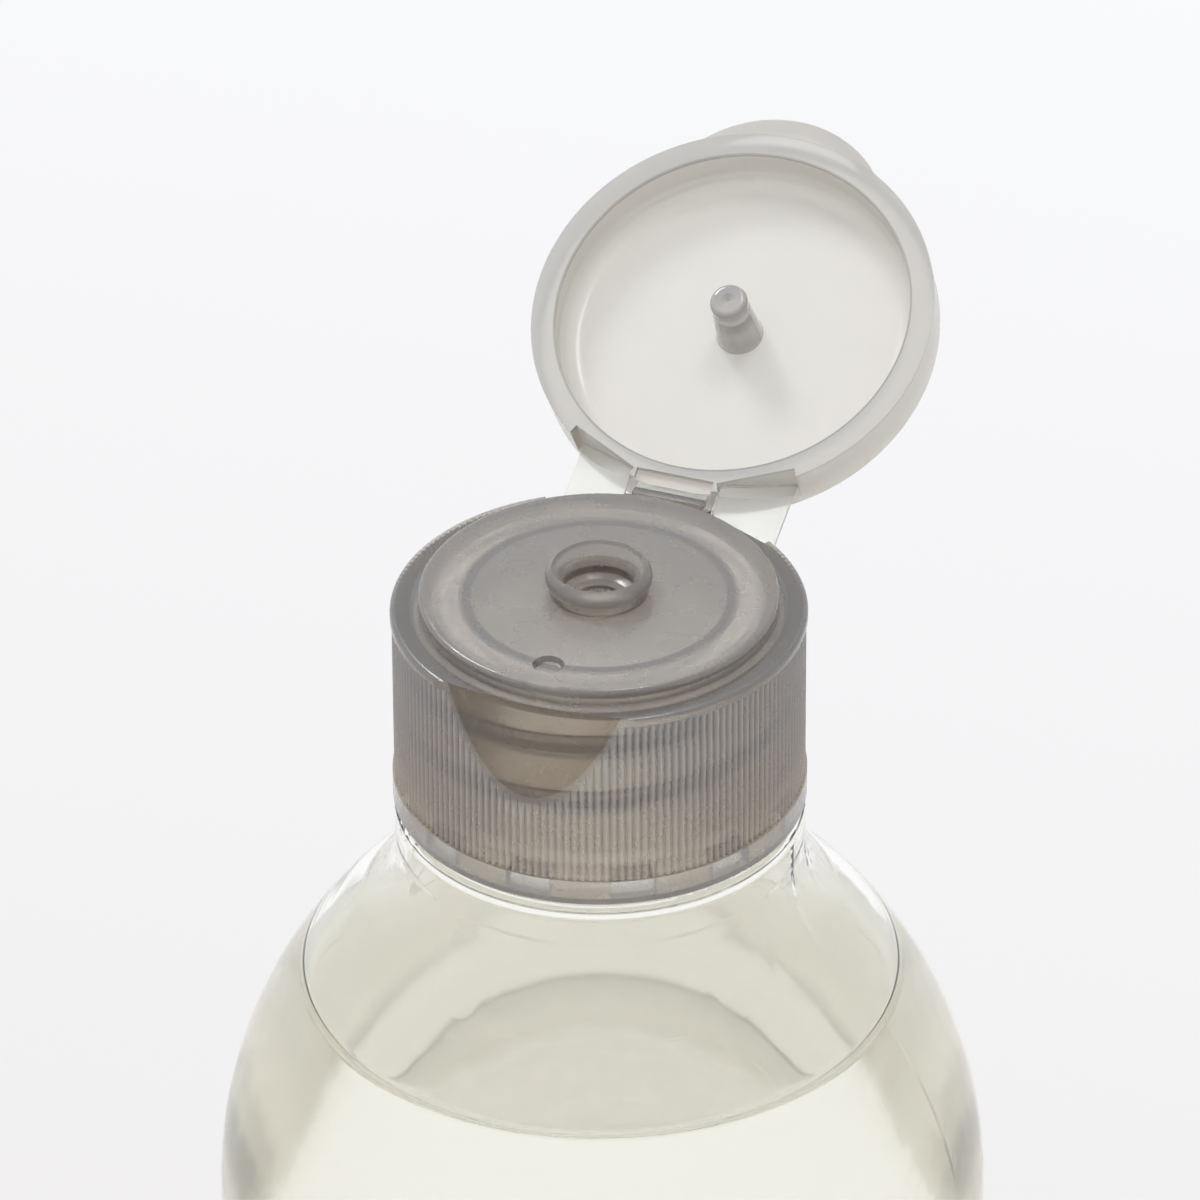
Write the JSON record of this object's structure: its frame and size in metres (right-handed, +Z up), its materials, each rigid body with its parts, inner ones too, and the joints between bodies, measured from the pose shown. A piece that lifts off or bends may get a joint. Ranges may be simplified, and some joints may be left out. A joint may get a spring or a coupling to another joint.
{
  "type": "lotion bottle",
  "caption": "Clear round lotion bottle with a domed shoulder, pale liquid inside, and a ribbed screw cap whose hinged flip-top lid stands open over a small nozzle.",
  "frame": {"origin": "centre of the bottle's foot, on the surface that it stands on", "axes": "+Z up the bottle's axis, +Y towards the lid's hinge, the thumb scallop at -Y"},
  "size_m": [0.0624, 0.0783, 0.1629],
  "materials": {
    "bottle_clear": "clear polyester, glossy, colourless",
    "lotion": "thin clear liquid with a faint straw tint",
    "cap_grey": "translucent grey polypropylene, satin",
    "lid_pale": "translucent polypropylene, pale where it is thin, satin",
    "hinge_clear": "thin clear polypropylene skin"
  },
  "bodies": {
    "bottle": {"bottle": "bottle_clear", "lotion": "lotion"},
    "cap": {"cap_base": "cap_grey", "hinge_strap_left": "hinge_clear", "hinge_strap_right": "hinge_clear", "hinge_web": "hinge_clear"},
    "lid": {"flip_lid": "lid_pale"}
  },
  "joints": [
    {"name": "cap_lift", "type": "slide", "parent": "bottle", "child": "cap", "axis": [0, 0, 1], "range_m": [0, 0.02]},
    {"name": "lid_hinge", "type": "hinge", "parent": "cap", "child": "lid", "pos_m": [0, 0.01657, 0.14554], "axis": [1, 0, 0], "range_deg": [0, 150], "deforming": ["hinge_strap_left", "hinge_strap_right", "hinge_web"]}
  ]
}
